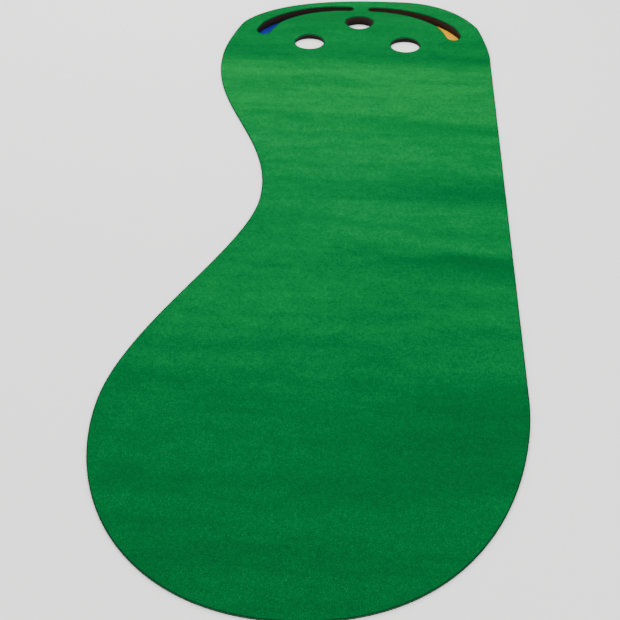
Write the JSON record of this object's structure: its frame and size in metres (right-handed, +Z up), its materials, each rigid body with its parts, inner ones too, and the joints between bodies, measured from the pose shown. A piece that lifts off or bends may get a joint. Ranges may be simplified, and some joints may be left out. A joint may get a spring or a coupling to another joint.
{
  "type": "practice putting mat",
  "caption": "Kidney-shaped felt putting mat with a foam ramp at its head, round cup holes and two arc-shaped traps behind them.",
  "frame": {"origin": "on the floor under the centre of the mat's bounding box", "axes": "+Y along the mat from the lawn to the raised head, +X to the straight side, +Z up"},
  "size_m": [0.914, 2.7431, 0.0316],
  "materials": {
    "turf": "matte",
    "backing": "matte",
    "foam": "matte",
    "base_sheet": "matte",
    "water": "matte",
    "sand": "matte"
  },
  "bodies": {
    "root": {"turf_face": "turf", "nonskid_backing": "backing", "foam_ramp": "foam", "ramp_base_sheet": "base_sheet", "water_trap_floor": "water", "sand_trap_floor": "sand"}
  },
  "joints": []
}
